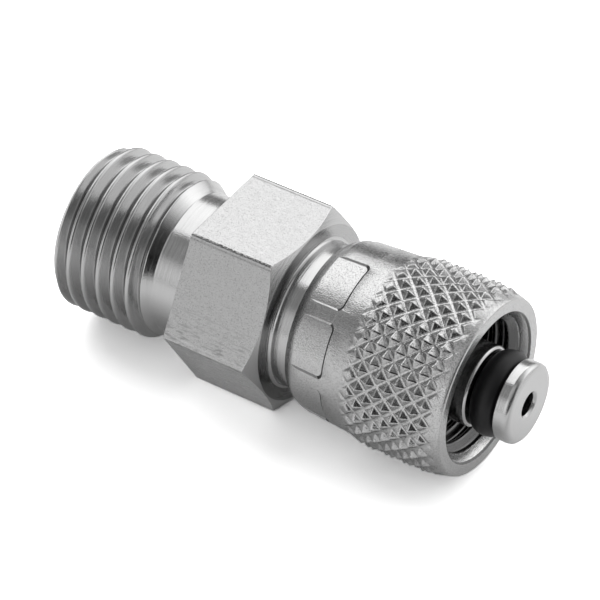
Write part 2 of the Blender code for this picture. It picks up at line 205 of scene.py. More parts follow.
# Finishes. Tones are grey base colors, and noise scales are per millimetre. Places and radii are
# millimetres in the frame, and limits are the noise between which a mark goes from none to full.
COMMON = (0.3, 0.7)
TOOL_MARK_SCALE = 6.5
TOOL_MARK_DRIFT = 0.06
TURNED_GRAIN_SCALE = 11.0
TURNED_CLOUD_SCALE = 0.7
MARK_ROUGHNESS = 0.05
CLOUD_ROUGHNESS = 0.03
# Places along Y over which the faced end of the hexagon is painted lighter towards +Y, a painted
# light
REAR_PAINTED_LIGHT_PLACES = (-0.5, 3.0)

# Painted shade in the thread's roots, between its end face and its run-out, and not in the bore
BODY_REAR_MM = -BODY_END / 2 / MM
THREAD_ROOT_MM = THREAD_ROOT / MM
THREAD_TONE = 0.52
THREAD_ROOT_SHADE_TONE = 0.10
THREAD_SHADE_PLACES = (BODY_REAR_MM + 7.45, BODY_REAR_MM + 7.95)
THREAD_FACE_PLACES = (BODY_REAR_MM + 0.10, BODY_REAR_MM + 0.45)
THREAD_ROOT_RADII = (THREAD_ROOT_MM + 0.0125, THREAD_ROOT_MM + 0.0475)
THREAD_INNER_RADII = (THREAD_ROOT_MM - 0.3375, THREAD_ROOT_MM - 0.1375)

NUT_TONE = 0.60
NUT_ROUGHNESS = 0.27
FACET_ROUGHNESS = 0.16
NUT_GRAIN_SCALE = 9.0
NUT_GRAIN_HEIGHT = 0.018 * MM
NUT_SPECK_SCALE = 6.5
NUT_MOTTLE_SCALE = 12.0
PIT_DARK, PIT_LIMITS = 0.6, (0.52, 0.68)
MOTTLE_DARK, MOTTLE_LIMITS = 0.34, (0.48, 0.64)
# Speckled darker patch on the top rear of the nut: its darkness and noise limits, and the places
# along Y and Z where it starts and is full
TOP_PATCH_DARK, TOP_PATCH_LIMITS = (0.22, 0.80), (0.42, 0.60)
TOP_PATCH_BEHIND = (0.9, 1.9)
TOP_PATCH_ABOVE = (4.8, 6.6)
GROOVE_SHADE = 0.22
# Painted shade along the knurl grooves: heights above the floor of a groove between which the
# painted shade starts and ends, and how far below the turned outside a place lies in a groove
GROOVE_START, GROOVE_STOP = (0.01, 0.05), (0.11, 0.31)
SUNK_LIMITS = (0.01, 0.04)
# How far past the rear and the front of the full knurl its finish fades
REAR_FADE, FRONT_FADE = (-0.6, 0.2), (0.4, 1.2)

# Painted light on the hexagon: tones of the bar below and above the axis, lighter on the lower
# flats, and the heights between which it changes
BAR_PAINTED_LIGHT_TONES, BAR_PAINTED_LIGHT_PLACES = (0.76, 0.56), (-0.6, 0.2)
BAR_ROUGHNESS = (0.26, 0.38)
STREAK_SCALE = 7.0
STREAK_STRETCH = 0.18
STREAK_HEIGHT = 0.006 * MM
STREAK_DARK, STREAK_LIMITS = 0.55, (0.51, 0.66)
# Streaks weaken above and below, each as a share from..to between two heights
STREAKS_ABOVE = (1.0, 0.10, -0.5, 3.0)
STREAKS_BELOW = (0.35, 1.0, -1.5, 0.0)
SPECKLE_SCALE = 12.0
SPECKLE_HEIGHT = 0.004 * MM
SPECKLE_DARK, SPECKLE_LIMITS = 0.40, (0.51, 0.68)
CHIP_DARK, CHIP_LIMITS = (0.15, 0.85), (0.40, 0.58)
# Painted dark reflection along the hexagon's top edges, dotted by chips of wear: its share 1 mm
# behind the axis, and how far below the rounded corner it starts and is full
EDGE_REFLECTION_BEHIND = 0.70
EDGE_DARK_START = 0.050
EDGE_DARK_FULL = 0.022

RUBBER_SKIN_SCALE = 14.0
RUBBER_SKIN_HEIGHT = 0.004 * MM
RUBBER_ROUGHNESS = (0.36, 0.50)

# Inputs of a Map Range node
RAMP_INPUTS = ("From Min", "From Max", "To Min", "To Max")


def eased(corners):
    """Closed outline of (station, radius) points. Each corner also says how far it is eased."""
    outline = []
    for i, (station, radius, reach) in enumerate(corners):
        here = Vector((station, radius))
        if reach == 0:
            outline.append(here)
            continue
        before = Vector(corners[i - 1][:2]) - here
        after = Vector(corners[(i + 1) % len(corners)][:2]) - here
        start = here + before.normalized() * reach
        end = here + after.normalized() * reach
        if before.length > 2 * (reach + SUPPORT):
            outline.append(here + before.normalized() * (reach + SUPPORT))
        for k in range(EASE_STEPS + 1):
            share = k / EASE_STEPS
            outline.append(start.lerp(here, share).lerp(here.lerp(end, share), share))
        if after.length > 2 * (reach + SUPPORT):
            outline.append(here + after.normalized() * (reach + SUPPORT))
    return outline


def spun(outline, steps, closed=True):
    """A bmesh of the outline turned about Z."""
    bm = bmesh.new()
    profile = [bm.verts.new((radius, 0.0, station)) for station, radius in outline]
    pairs = list(zip(profile, profile[1:]))
    if closed:
        pairs.append((profile[-1], profile[0]))
    edges = [bm.edges.new(pair) for pair in pairs]
    bmesh.ops.spin(
        bm,
        geom=profile + edges,
        cent=(0.0, 0.0, 0.0),
        axis=(0.0, 0.0, 1.0),
        dvec=(0.0, 0.0, 0.0),
        angle=2 * math.pi,
        steps=steps,
        use_merge=True,
        use_duplicate=False,
    )
    return bm


def polar(vert):
    """Radius and angle of a vertex about the turning axis."""
    return math.hypot(vert.co.x, vert.co.y), math.atan2(vert.co.y, vert.co.x)


def place(vert, radius, angle, station):
    """Puts a vertex at a radius, angle and station."""
    vert.co = (radius * math.cos(angle), radius * math.sin(angle), station)


def laid_piece(bm, name, station, body, node):
    """Lays a turned bmesh along X at a station of the body and makes it a piece of the scene."""
    bmesh.ops.recalc_face_normals(bm, faces=bm.faces)
    turn = Matrix.Rotation(math.pi / 2, 4, "Y")
    shift = Matrix.Translation((station - BODY_END / 2, 0.0, 0.0))
    bmesh.ops.transform(bm, matrix=shift @ turn, verts=bm.verts)
    mesh = bpy.data.meshes.new(name)
    bm.to_mesh(mesh)
    bm.free()
    mesh.shade_smooth()
    piece = bpy.data.objects.new(name, mesh)
    bpy.context.collection.objects.link(piece)
    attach(piece, body)
    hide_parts(node)
    return piece


def thread_height(turns, pitch, depth, flank):
    """Height of a rounded thread above its root. Whole turns are roots and half turns crests."""
    across = abs((turns + 0.5) % 1.0 - 0.5) * pitch
    lower = across < pitch / 4
    if not lower:
        across = pitch / 2 - across
    sharp_height = pitch / (2 * math.tan(flank))
    rounding = (sharp_height - depth) / 2 * math.sin(flank) / (1 - math.sin(flank))
    tangent = rounding * math.cos(flank)
    if across < tangent:
        height = rounding - math.sqrt(rounding**2 - across**2)
    else:
        height = rounding * (1 - math.sin(flank)) + (across - tangent) / math.tan(flank)
    return height if lower else depth - height


def male_thread_radius(station, angle):
    """Radius of the male thread with its lead chamfer and its run-out into the relief."""
    turns = station / THREAD_PITCH - angle / (2 * math.pi)
    radius = THREAD_ROOT + thread_height(turns, THREAD_PITCH, THREAD_DEPTH, THREAD_FLANK)
    lead = THREAD_CREST - THREAD_LEAD + station
    slope = (THREAD_CREST - RELIEF_RADIUS) / THREAD_RUN_OUT
    fade = THREAD_CREST - (station - THREAD_LENGTH) * slope
    return max(RELIEF_RADIUS, min(radius, lead, fade))


def hexagon_radius(offset):
    """Radius of the rounded hexagon at an angle from its nearest corner."""
    flat = HEX_APOTHEM / math.cos(math.pi / 6 - abs(offset))
    center = HEX_CORNER - HEX_CORNER_ROUND / math.sin(math.pi / 3)
    inside = HEX_CORNER_ROUND**2 - (center * math.sin(offset)) ** 2
    if inside < 0:
        return flat
    return min(flat, center * math.cos(offset) + math.sqrt(inside))


def crowded(angle):
    """Nearest hexagon corner of an angle, and the offset from it with the steps crowded there."""
    half = math.pi / 6
    corner = (2 * math.floor(angle / (2 * half)) + 1) * half
    share = abs(angle - corner) / half
    return corner, math.copysign(share**HEX_CROWDING * half, angle - corner)


def shape_hexagon(vert, radius, corner, offset):
    """Moves a vertex of the turned blank on to the hexagon."""
    surface = hexagon_radius(offset)
    station = vert.co.z
    if station < (HEX_REAR + HEX_FRONT) / 2:
        radius += surface - HEX_CORNER
    else:
        scale = (surface - HEX_FACE_RADIUS) / (HEX_CORNER - HEX_FACE_RADIUS)
        radius = HEX_FACE_RADIUS + (radius - HEX_FACE_RADIUS) * scale
        station = HEX_FRONT - (HEX_FRONT - station) * scale
    place(vert, radius, corner + offset, station)


def body_outline():
    """Half section of the adapter body, from its rear face round to its bores."""
    lead = THREAD_CREST - THREAD_LEAD
    chamfer_rear = HEX_FRONT - (HEX_CORNER - HEX_FACE_RADIUS) * math.tan(HEX_CHAMFER)
    drill_end = LARGE_BORE_DEPTH + (LARGE_BORE - SMALL_BORE) / math.tan(DRILL_POINT)
    rows = math.ceil((THREAD_LENGTH + THREAD_RUN_OUT) / THREAD_PITCH * THREAD_ROWS)
    thread = [(k * THREAD_PITCH / THREAD_ROWS, lead, 0) for k in range(rows + 1)]
    corners = [
        (0.0, LARGE_BORE + LARGE_BORE_CHAMFER, EDGE),
        *thread,
        (HEX_REAR, RELIEF_RADIUS, 3 * EDGE),
        (HEX_REAR, HEX_CORNER, EDGE),
        (chamfer_rear, HEX_CORNER, EDGE),
        (HEX_FRONT, HEX_FACE_RADIUS, EDGE),
        (HEX_FRONT, NECK_RADIUS, NECK_FILLET),
        (RING_GROOVE[0], NECK_RADIUS, EDGE),
        (RING_GROOVE[0], RING_GROOVE_RADIUS, EDGE),
        (RING_GROOVE[1], RING_GROOVE_RADIUS, EDGE),
        (RING_GROOVE[1], NECK_RADIUS, EDGE),
        (NECK_END - NECK_CHAMFER, NECK_RADIUS, EDGE),
        (NECK_END, NECK_RADIUS - NECK_CHAMFER, EDGE),
        (NECK_END, STEM_RADIUS, 2 * EDGE),
        (SEAL_GROOVE[0] - STEM_CHAMFER, STEM_RADIUS, EDGE),
        (SEAL_GROOVE[0], STEM_RADIUS - STEM_CHAMFER, EDGE),
        (SEAL_GROOVE[0], SEAL_GROOVE_RADIUS, EDGE),
        (SEAL_GROOVE[1], SEAL_GROOVE_RADIUS, EDGE),
        (SEAL_GROOVE[1], STEM_RADIUS, EDGE),
        (BODY_END, STEM_RADIUS, FLANGE_ROUND),
        (BODY_END, SMALL_BORE + SMALL_BORE_CHAMFER, EDGE),
        (BODY_END - SMALL_BORE_CHAMFER, SMALL_BORE, EDGE),
        (drill_end, SMALL_BORE, EDGE),
        (LARGE_BORE_DEPTH, LARGE_BORE, EDGE),
        (LARGE_BORE_CHAMFER, LARGE_BORE, EDGE),
    ]
    return eased(corners), rows * THREAD_PITCH / THREAD_ROWS


def bright_body(turned_steel, drawn_steel, end_steel):
    """Adapter body: threaded, hexagonal and turned lengths on one mesh."""
    outline, thread_end = body_outline()
    bm = spun(outline, BODY_STEPS)
    bore_face = LARGE_BORE + LARGE_BORE_CHAMFER + 3 * EDGE
    for vert in bm.verts:
        radius, angle = polar(vert)
        corner, offset = crowded(angle)
        station = vert.co.z
        if station < thread_end + TINY and radius > bore_face:
            radius = male_thread_radius(station, corner + offset)
        place(vert, radius, corner + offset, station)
        if HEX_REAR - TINY < station < HEX_FRONT + TINY and radius > HEX_FACE_RADIUS - TINY:
            shape_hexagon(vert, radius, corner, offset)
    piece = laid_piece(bm, "bright_adapter_body", 0.0, "adapter", "adapter_body")
    for steel in (turned_steel, drawn_steel, end_steel):
        piece.data.materials.append(steel)
    for face in piece.data.polygons:
        middle = face.center.x + BODY_END / 2
        across = math.hypot(face.center.y, face.center.z)
        on_hexagon = HEX_REAR < middle < HEX_FRONT and across > HEX_FACE_RADIUS
        if on_hexagon and abs(face.normal.x) < ALONG_AXIS:
            face.material_index = 1
        # The hexagon's front end face: darker steel with painted light towards +Y
        if abs(middle - HEX_FRONT) < TINY and across > NECK_RADIUS + NECK_FILLET:
            face.material_index = 2


def nut_envelope():
    """Breakpoints (station, radius) of the nut's turned outside, from its lip to its front."""
    lip_angle = math.asin(LIP_LENGTH / LIP_RADIUS)
    lip_center = SHOULDER_RADIUS - SHOULDER_TAPER - LIP_RADIUS
    points = []
    for k in range(LIP_STEPS + 1):
        angle = lip_angle * (1 - k / LIP_STEPS)
        station = LIP_LENGTH - LIP_RADIUS * math.sin(angle)
        points.append((station, lip_center + LIP_RADIUS * math.cos(angle)))
    points += [
        (KNURL_START, SHOULDER_RADIUS),
        (KNURL_START + KNURL_RAMP, KNURL_RADIUS),
        (NUT_LENGTH - FRONT_CONE_LENGTH, KNURL_RADIUS),
        (NUT_LENGTH, FRONT_RADIUS),
    ]
    return points


def along(points, station):
    """Radius of an outline at a station."""
    for (rear, low), (front, high) in zip(points, points[1:]):
        if rear <= station <= front:
            return low + (high - low) * (station - rear) / (front - rear)
    return points[-1][1]


def knurl_surface(station, angle):
    """Radius of the diamond knurl: pyramids between two families of flat-bottomed grooves."""
    row = (station - KNURL_TIP) / KNURL_PITCH
    column = (angle - KNURL_PHASE) / (math.pi / KNURL_COUNT)
    nearest = min(abs((row + column + 1) % 2 - 1), abs((row - column + 1) % 2 - 1))
    height = max(0.0, nearest - KNURL_GROOVE_FLAT) / (1 - KNURL_GROOVE_FLAT)
    return KNURL_RADIUS - KNURL_DEPTH * (1 - height)


def split_along_grooves(bm):
    """Splits each knurled face in two along the diagonal that lies deeper."""
    for face in list(bm.faces):
        corners = list(face.verts)
        if len(corners) != 4 or face.calc_center_median().z < KNURL_START:
            continue
        if max(v.co.z for v in corners) - min(v.co.z for v in corners) > 1.5 * KNURL_ROW:
            continue
        heights = [v.co.x**2 + v.co.y**2 for v in corners]
        first = 0 if heights[0] + heights[2] < heights[1] + heights[3] else 1
        bmesh.utils.face_split(face, corners[first], corners[first + 2])


def nut_outside():
    """Outer skin of the nut, with its knurl."""
    envelope = nut_envelope()
    first_row = math.ceil((KNURL_START - KNURL_TIP) / KNURL_ROW)
    last_row = math.floor((NUT_LENGTH - 2 * SUPPORT - 2 * EDGE - KNURL_TIP) / KNURL_ROW)
    rows = [KNURL_TIP + k * KNURL_ROW for k in range(first_row, last_row + 1)]
    skin = [Vector(point) for point in envelope[: LIP_STEPS + 1]]
    for station in (rows[0] - 3 * SUPPORT, *rows):
        skin.append(Vector((station, along(envelope, station))))
    rim = eased([
        (rows[-1], skin[-1].y, 0),
        (NUT_LENGTH, FRONT_RADIUS, 3 * EDGE),
        (NUT_LENGTH, MOUTH_RADIUS + MOUTH_CHAMFER + 4 * EDGE, 0),
    ])
    steps = 2 * KNURL_COUNT * KNURL_CELLS
    bm = spun(skin + rim[1:], steps, closed=False)
    for vert in bm.verts:
        radius, angle = polar(vert)
        angle += KNURL_PHASE
        station = vert.co.z
        if KNURL_START < station < rows[-1] + TINY:
            radius = min(radius, knurl_surface(station, angle))
        place(vert, radius, angle, station)
    return bm


def nut_inside():
    """Inner skin of the nut: mouth, thread, ring groove and running bore."""
    minor = NUT_THREAD_RADIUS - NUT_THREAD_DEPTH
    mouth_floor = NUT_LENGTH - MOUTH_DEPTH
    row_step = NUT_THREAD_PITCH / NUT_THREAD_ROWS
    rows = math.floor((mouth_floor - NUT_THREAD_START) / row_step)
    thread = [(mouth_floor - k * row_step, minor, 0) for k in range(rows + 1)]
    corners = [
        (NUT_LENGTH, MOUTH_RADIUS + MOUTH_CHAMFER + 2 * EDGE, 0),
        (NUT_LENGTH, MOUTH_RADIUS + MOUTH_CHAMFER, EDGE),
        (NUT_LENGTH - MOUTH_CHAMFER, MOUTH_RADIUS, EDGE),
        (mouth_floor + EDGE, NUT_THREAD_RADIUS, 0),
        *thread,
        (NUT_THREAD_START, minor, 0),
        (NUT_THREAD_START, NUT_BORE, 0),
        (NUT_GROOVE[1], NUT_BORE, EDGE),
        (NUT_GROOVE[1], NUT_GROOVE_RADIUS, EDGE),
        (NUT_GROOVE[0], NUT_GROOVE_RADIUS, EDGE),
        (NUT_GROOVE[0], NUT_BORE, EDGE),
        (0.0, NUT_BORE, EDGE),
        (0.0, NUT_BORE + 2 * EDGE, 0),
    ]
    bm = spun(eased(corners), NUT_INNER_STEPS, closed=False)
    for vert in bm.verts:
        radius, angle = polar(vert)
        station = vert.co.z
        if NUT_THREAD_START - TINY < station < mouth_floor + TINY and radius < minor + TINY:
            turns = (station - NUT_THREAD_START) / NUT_THREAD_PITCH - angle / (2 * math.pi)
            height = thread_height(turns, NUT_THREAD_PITCH, NUT_THREAD_DEPTH, NUT_THREAD_FLANK)
            lead = NUT_THREAD_RADIUS - (mouth_floor - station)
            place(vert, max(minor + height, lead), angle, station)
    return bm


def pad_block():
    """Bent block with a curved floor, sloped walls and two rounded corners."""
    height = PAD_BLOCK_HEIGHT
    bm = bmesh.new()
    bmesh.ops.create_cube(bm, size=1.0)
    bmesh.ops.scale(bm, verts=bm.verts, vec=(height, PAD_WIDTH, PAD_END + height))
    middle = (PAD_FLOOR + height / 2, 0.0, (PAD_END - height) / 2)
    bmesh.ops.translate(bm, verts=bm.verts, vec=middle)
    upright = [
        edge
        for edge in bm.edges
        if all(vert.co.z > 0.0 for vert in edge.verts)
        and abs(edge.verts[0].co.x - edge.verts[1].co.x) > height / 2
    ]
    bmesh.ops.bevel(
        bm, geom=upright, offset=PAD_CORNER, offset_type="OFFSET",
        segments=PAD_CORNER_STEPS, profile=0.5, affect="EDGES", material=-1,
    )
    for i in range(1, PAD_STEPS):
        cut = PAD_WIDTH * (i / PAD_STEPS - 0.5)
        whole = [*bm.verts, *bm.edges, *bm.faces]
        bmesh.ops.bisect_plane(
            bm, geom=whole, dist=TINY / 10, plane_co=(0.0, cut, 0.0), plane_no=(0.0, 1.0, 0.0)
        )
    for vert in bm.verts:
        rise = vert.co.x - PAD_FLOOR
        widening = 1 + 2 * PAD_SIDE_DRAFT * rise / PAD_WIDTH
        angle = vert.co.y * widening / PAD_FLOOR
        station = vert.co.z + PAD_FRONT_DRAFT * rise * (vert.co.z > 0.0)
        lean = SHOULDER_TAPER * (PAD_END - vert.co.z) / (KNURL_START - LIP_LENGTH)
        place(vert, vert.co.x - lean, angle, station)
    bmesh.ops.triangulate(bm, faces=bm.faces)
    return bm


def pad_blocks():
    """One object with all the blocks that mill the shallow panels at the rear of the nut."""
    one = pad_block()
    mesh = bpy.data.meshes.new("pad_blocks")
    one.to_mesh(mesh)
    one.free()
    bm = bmesh.new()
    for k in range(PAD_COUNT):
        before = len(bm.verts)
        bm.from_mesh(mesh)
        bm.verts.ensure_lookup_table()
        turn = Matrix.Rotation(PAD_PHASE + 2 * math.pi * k / PAD_COUNT, 3, "Z")
        bmesh.ops.rotate(bm, verts=bm.verts[before:], cent=(0.0, 0.0, 0.0), matrix=turn)
    bmesh.ops.recalc_face_normals(bm, faces=bm.faces)
    bm.to_mesh(mesh)
    bm.free()
    blocks = bpy.data.objects.new("pad_blocks", mesh)
    bpy.context.collection.objects.link(blocks)
    return blocks


def milled(bm, blocks):
    """Cuts the blocks out of a closed bmesh and returns the result as a new bmesh."""
    mesh = bpy.data.meshes.new("nut_blank")
    bm.to_mesh(mesh)
    bm.free()
    blank = bpy.data.objects.new("nut_blank", mesh)
    bpy.context.collection.objects.link(blank)
    cut = blank.modifiers.new("mill the panels", "BOOLEAN")
    cut.operation = "DIFFERENCE"
    cut.solver = "EXACT"
    cut.object = blocks
    result = bmesh.new()
    result.from_object(blank, bpy.context.evaluated_depsgraph_get())
    bpy.data.objects.remove(blank)
    bpy.data.objects.remove(blocks)
    return result


def bright_nut(knurled_steel, thread_shade_steel, panel_shadow_steel):
    """Swivel nut: both skins bridged at the rims, with the panels milled."""
    bm = nut_outside()
    inside = nut_inside()
    inner_mesh = bpy.data.meshes.new("nut_inside")
    inside.to_mesh(inner_mesh)
    inside.free()
    bm.from_mesh(inner_mesh)
    for level in (0.0, NUT_LENGTH):
        rims = [
            edge
            for edge in bm.edges
            if edge.is_boundary and all(abs(vert.co.z - level) < TINY for vert in edge.verts)
        ]
        bmesh.ops.bridge_loops(bm, edges=rims)
    bmesh.ops.recalc_face_normals(bm, faces=bm.faces)
    bm = milled(bm, pad_blocks())
    split_along_grooves(bm)
    for edge in bm.edges:
        near_pads = max(vert.co.z for vert in edge.verts) < PAD_END + EDGE
        if near_pads and len(edge.link_faces) == 2 and edge.calc_face_angle() > SHARP:
            edge.smooth = False
    piece = laid_piece(bm, "bright_knurled_nut", NUT_REAR, "nut", "knurled_nut")
    for steel in (knurled_steel, thread_shade_steel, panel_shadow_steel):
        piece.data.materials.append(steel)
    for face in piece.data.polygons:
        station = face.center.x + BODY_END / 2 - NUT_REAR
        across = math.hypot(face.center.y, face.center.z)
        in_thread = across < MOUTH_RADIUS and station < NUT_LENGTH - MOUTH_DEPTH - EDGE
        pad_wall = across > PAD_FLOOR - EDGE and PAD_WALL_START < station < PAD_WALL_END
        chamfer = across < MOUTH_RADIUS + MOUTH_CHAMFER and NUT_LENGTH - MOUTH_CHAMFER < station
        # The inside of the nut and its mouth chamfer take a dark steel, painted shade inside the
        # nut
        if in_thread or chamfer:
            face.material_index = 1
        # Rear-facing walls of the panels take a near-black steel, a painted shadow
        elif pad_wall and face.normal.x < FACES_REAR:
            face.material_index = 2


def soft_seal(rubber):
    """Rubber ring in the probe's groove: an oval section turned about the axis."""
    outline = []
    middle = STEM_RADIUS + SEAL_PROUD - SEAL_HEIGHT / 2
    for k in range(SEAL_SECTION_STEPS):
        angle = 2 * math.pi * k / SEAL_SECTION_STEPS
        radius = middle + SEAL_HEIGHT / 2 * math.cos(angle)
        outline.append((SEAL_WIDTH / 2 * math.sin(angle), radius))
    bm = spun(outline, SEAL_STEPS)
    station = (SEAL_GROOVE[0] + SEAL_GROOVE[1]) / 2
    piece = laid_piece(bm, "soft_probe_seal", station, "adapter", "probe_o_ring")
    piece.data.materials.append(rubber)


class Finish:
    """A Principled material with a short way to add and join nodes."""

    def __init__(self, name):
        self.material = bpy.data.materials.new(name)
        self.material.use_nodes = True
        self.tree = self.material.node_tree
        self.shader = self.tree.nodes["Principled BSDF"]

    def add(self, kind, settings=None, **inputs):
        """Adds a node. An input is a value or another node's output socket."""
        node = self.tree.nodes.new(f"ShaderNode{kind}")
        for key, value in (settings or {}).items():
            setattr(node, key, value)
        for key, value in inputs.items():
            self.feed(node, key.replace("_", " "), value)
        return node

    def feed(self, node, key, value):
        """Sets an input of a node, by its name or its number."""
        socket = node.inputs[int(key) if key.isdigit() else key]
        if isinstance(value, bpy.types.NodeSocket):
            self.tree.links.new(value, socket)
        else:
            socket.default_value = value

    def math(self, operation, first, *others):
        """Output of a Math node, or of a chain of them that takes in each further number."""
        result = first
        for other in others or (0.0,):
            node = self.add("Math", {"operation": operation})
            self.feed(node, "0", result)
            self.feed(node, "1", other)
            result = node.outputs[0]
        return result

    def from_axis(self, y, z):
        """Distance from the X axis."""
        squares = self.math("ADD", self.math("MULTIPLY", y, y), self.math("MULTIPLY", z, z))
        return self.math("SQRT", squares)

    def paint_grey(self, tone):
        """Makes the base color a grey of a changing tone."""
        tint = self.add("CombineColor", Red=tone, Green=tone, Blue=tone)
        self.feed(self.shader, "Base Color", tint.outputs[0])

    def vector(self, x, y, z):
        """Joins three numbers into a vector."""
        return self.add("CombineXYZ", X=x, Y=y, Z=z).outputs[0]

    def noise(self, vector, scale, detail=2.0):
        """Output of a Noise texture, from 0 to 1."""
        node = self.add("TexNoise", Vector=vector, Scale=scale, Detail=detail)
        return node.outputs[0]

    def between(self, value, low, high, start=0.0, end=1.0):
        """Maps a number from start..end to low..high."""
        node = self.add("MapRange", {"clamp": True})
        for key, number in zip("01234", (value, start, end, low, high)):
            self.feed(node, key, number)
        return node.outputs[0]

    def bump(self, height, distance, below=None):
        """Output of a Bump node, on top of another one."""
        node = self.add("Bump", Height=height, Distance=distance, Strength=1.0)
        if below is not None:
            self.feed(node, "Normal", below)
        return node.outputs[0]


def spot_in_mm(finish):
    """Place on a piece in millimetres, as a vector and as its three parts."""
    place_m = finish.add("TexCoord").outputs["Object"]
    scaled = finish.add("VectorMath", {"operation": "SCALE"}, Vector=place_m, Scale=1 / MM)
    return scaled.outputs[0], finish.add("SeparateXYZ", Vector=scaled.outputs[0]).outputs


def turned_steel_finish(
    name, color, roughness, groove_depth, grain_depth, thread=False, rear_painted_light=None
):
    """Bright steel with fine turning marks round the axis and a faint grain.

    With a thread, the rear length has the thread's tone and painted shade in its roots. The rear
    painted light, if given, is the lighter tone painted on the +Y side, towards the light.
    """
    finish = Finish(name)
    spot, (x, y, z) = spot_in_mm(finish)
    outward = finish.from_axis(y, z)
    tool_line = finish.vector(x, outward, finish.math("MULTIPLY", y, TOOL_MARK_DRIFT))
    marks = finish.noise(tool_line, TOOL_MARK_SCALE, 3.0)
    grain = finish.noise(spot, TURNED_GRAIN_SCALE)
    cloud = finish.noise(spot, TURNED_CLOUD_SCALE, 3.0)
    shader = finish.shader
    shader.inputs["Metallic"].default_value = 1.0
    shader.inputs["Base Color"].default_value = (*color, 1.0)
    if thread:
        in_thread = finish.between(x, 1.0, 0.0, *THREAD_SHADE_PLACES)
        plain = finish.between(in_thread, color[0], THREAD_TONE)
        # Painted shade in the thread's roots
        root_shade = finish.math(
            "MULTIPLY",
            finish.between(outward, 1.0, 0.0, *THREAD_ROOT_RADII),
            finish.between(outward, 0.0, 1.0, *THREAD_INNER_RADII),
            finish.between(x, 0.0, 1.0, *THREAD_FACE_PLACES),
            in_thread,
        )
        finish.paint_grey(finish.between(root_shade, plain, THREAD_ROOT_SHADE_TONE))
    # Painted light: the tone rises towards +Y, the side that faces the light behind
    if rear_painted_light:
        finish.paint_grey(finish.between(y, color[0], rear_painted_light, *REAR_PAINTED_LIGHT_PLACES))
    by_mark = finish.between(marks, -MARK_ROUGHNESS, MARK_ROUGHNESS, *COMMON)
    low, high = roughness - CLOUD_ROUGHNESS, roughness + CLOUD_ROUGHNESS
    by_cloud = finish.between(cloud, low, high, *COMMON)
    finish.feed(shader, "Roughness", finish.math("ADD", by_mark, by_cloud))
    lines = finish.bump(marks, groove_depth * MM)
    finish.feed(shader, "Normal", finish.bump(grain, grain_depth * MM, lines))
    return finish.material


def knurled_steel_finish():
    """Nut: matt, grainy shoulder and cone, crisper facets with dark specks, painted shade in the
    knurl grooves, a speckled dark patch on top.
    """
    finish = Finish("knurled_matt_steel")
    spot, (x, y, z) = spot_in_mm(finish)
    outward = finish.from_axis(y, z)
    grain = finish.noise(spot, NUT_GRAIN_SCALE, 3.0)
    specks = finish.noise(spot, NUT_SPECK_SCALE, 3.0)
    fine = finish.noise(spot, NUT_MOTTLE_SCALE)

    rear = (NUT_REAR - BODY_END / 2) / MM
    ramp = (rear + KNURL_START / MM, rear + (KNURL_START + KNURL_RAMP) / MM)
    cone = (rear + (NUT_LENGTH - FRONT_CONE_LENGTH) / MM, rear + NUT_LENGTH / MM)
    knurl_rear = rear + (KNURL_START + 0.5 * KNURL_RAMP) / MM
    rear_fade = [knurl_rear + shift for shift in REAR_FADE]
    front_fade = [cone[0] + shift for shift in FRONT_FADE]
    on_knurl = finish.math(
        "MULTIPLY",
        finish.between(x, 0.0, 1.0, *rear_fade),
        finish.between(x, 1.0, 0.0, *front_fade),
    )
    pits = finish.math("MULTIPLY", finish.between(specks, 0.0, PIT_DARK, *PIT_LIMITS), on_knurl)
    mottle = finish.between(fine, 0.0, MOTTLE_DARK, *MOTTLE_LIMITS)

    full, groove = KNURL_RADIUS / MM, (KNURL_RADIUS - KNURL_DEPTH) / MM
    on_ramp = finish.between(x, SHOULDER_RADIUS / MM, full, *ramp)
    on_cone = finish.between(x, full, FRONT_RADIUS / MM, *cone)
    sunk = finish.math("SUBTRACT", finish.math("MINIMUM", on_ramp, on_cone), outward)
    # Painted shade: the facets just above each knurl groove's floor are darkened
    low = finish.math(
        "MULTIPLY",
        finish.between(outward, 0.0, 1.0, *[groove + rise for rise in GROOVE_START]),
        finish.between(outward, GROOVE_SHADE, 0.0, *[groove + rise for rise in GROOVE_STOP]),
        finish.between(sunk, 0.0, 1.0, *SUNK_LIMITS),
    )
    # Speckled darker patch on the top rear of the shoulder
    top_patch = finish.math(
        "MULTIPLY",
        finish.between(y, 0.0, 1.0, *TOP_PATCH_BEHIND),
        finish.between(z, 0.0, 1.0, *TOP_PATCH_ABOVE),
        finish.between(x, 1.0, 0.0, *rear_fade),
        finish.between(specks, *TOP_PATCH_DARK, *TOP_PATCH_LIMITS),
    )
    dark = finish.math("MAXIMUM", pits, low, mottle, top_patch)

    shader = finish.shader
    shader.inputs["Metallic"].default_value = 1.0
    finish.paint_grey(finish.between(dark, NUT_TONE, 0.0))
    rough = finish.between(on_knurl, NUT_ROUGHNESS, FACET_ROUGHNESS)
    finish.feed(shader, "Roughness", rough)
    finish.feed(shader, "Normal", finish.bump(grain, NUT_GRAIN_HEIGHT))
    return finish.material


